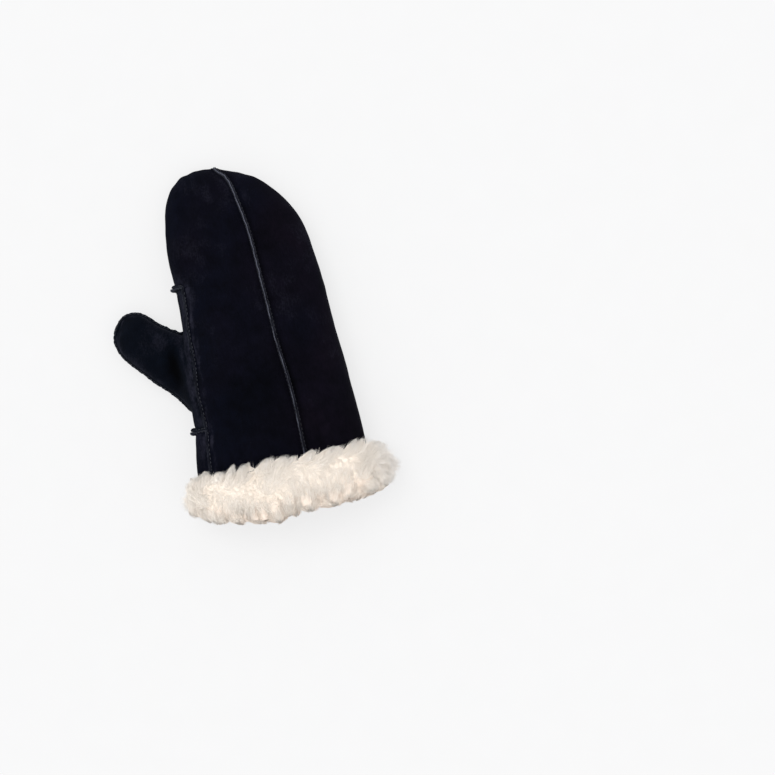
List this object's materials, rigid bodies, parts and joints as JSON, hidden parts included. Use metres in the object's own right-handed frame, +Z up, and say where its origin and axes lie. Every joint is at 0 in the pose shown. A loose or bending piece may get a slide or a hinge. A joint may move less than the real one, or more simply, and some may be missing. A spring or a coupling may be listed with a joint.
{
  "type": "leather mitten",
  "caption": "Sheepskin mitten for the right hand with raised outside seams, a spread thumb and fleece turned back over the mouth, lying palm down.",
  "frame": {"origin": "on the surface the mitten lies on, under the middle of its bounding box", "axes": "+Y from the mouth to the fingertip, +Z up out of the back of the hand, +X toward the little finger's edge, away from the thumb"},
  "size_m": [0.201, 0.2912, 0.0631],
  "materials": {
    "suede": "matt black suede with a short nap",
    "fleece": "deep cream sheep's fleece in pointed locks",
    "lining": "dense cream fleece, pressed by wear"
  },
  "bodies": {
    "root": {"palm_and_outer_panel": "suede", "back_thumb_side_panel": "suede", "thumb_back_panel": "suede", "cuff_fleece": "fleece", "mouth_lining": "lining"}
  },
  "joints": []
}
